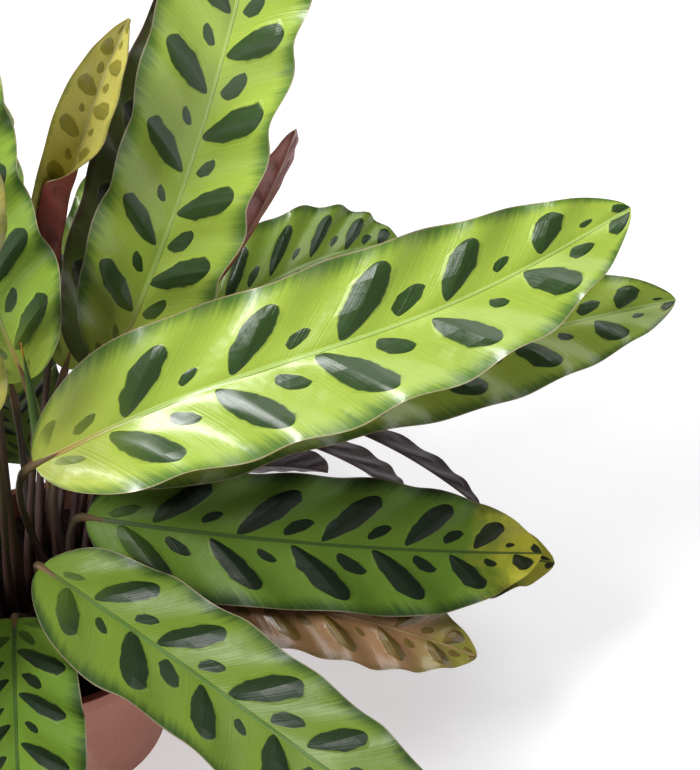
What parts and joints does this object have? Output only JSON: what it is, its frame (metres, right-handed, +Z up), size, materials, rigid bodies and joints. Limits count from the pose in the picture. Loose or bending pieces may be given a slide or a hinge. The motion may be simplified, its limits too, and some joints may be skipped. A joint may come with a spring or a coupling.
{
  "type": "potted rattlesnake plant",
  "caption": "Rattlesnake plant with long wavy lime-green leaves, dark oval blotches and red undersides, in a tapered terracotta-coloured nursery pot.",
  "frame": {"origin": "centre of the pot's flat underside", "axes": "+Z up, +X along the long leaf that points to the right of the picture, -Y towards the picture's camera"},
  "size_m": [0.4897, 0.4095, 0.4072],
  "materials": {
    "terracotta_plastic": "matt moulded plastic",
    "potting_soil": "loose dark peat",
    "leaf": "satin upper side, dark red underside",
    "shaded_leaf": "satin upper side, dark red underside",
    "young_leaf": "satin, yellow green",
    "dark_leaf": "satin, mostly its dark red underside shows"
  },
  "bodies": {
    "root": {"leaf_back_arching": "leaf", "leaf_back_high": "leaf", "leaf_back_left": "leaf", "leaf_back_left_low": "shaded_leaf", "leaf_back_low": "shaded_leaf", "leaf_back_right": "leaf", "leaf_between": "leaf", "leaf_copper": "young_leaf", "leaf_dark_far": "dark_leaf", "leaf_dark_middle": "dark_leaf", "leaf_dark_near": "dark_leaf", "leaf_front": "leaf", "leaf_front_left": "leaf", "leaf_front_low": "shaded_leaf", "leaf_front_right": "leaf", "leaf_gold_left": "young_leaf", "leaf_left_arching": "leaf", "leaf_left_back": "leaf", "leaf_left_front": "leaf", "leaf_left_low": "shaded_leaf", "leaf_left_upright": "leaf", "leaf_long": "leaf", "leaf_low": "shaded_leaf", "leaf_olive_left": "young_leaf", "leaf_red_edge": "dark_leaf", "leaf_rolled": "young_leaf", "leaf_shaded": "shaded_leaf", "leaf_small_front": "leaf", "leaf_spear": "young_leaf", "leaf_tall": "leaf", "leaf_tall_behind": "shaded_leaf", "leaf_under_long": "leaf", "leaf_upper_left": "leaf", "pot": "terracotta_plastic", "soil": "potting_soil"}
  },
  "joints": []
}
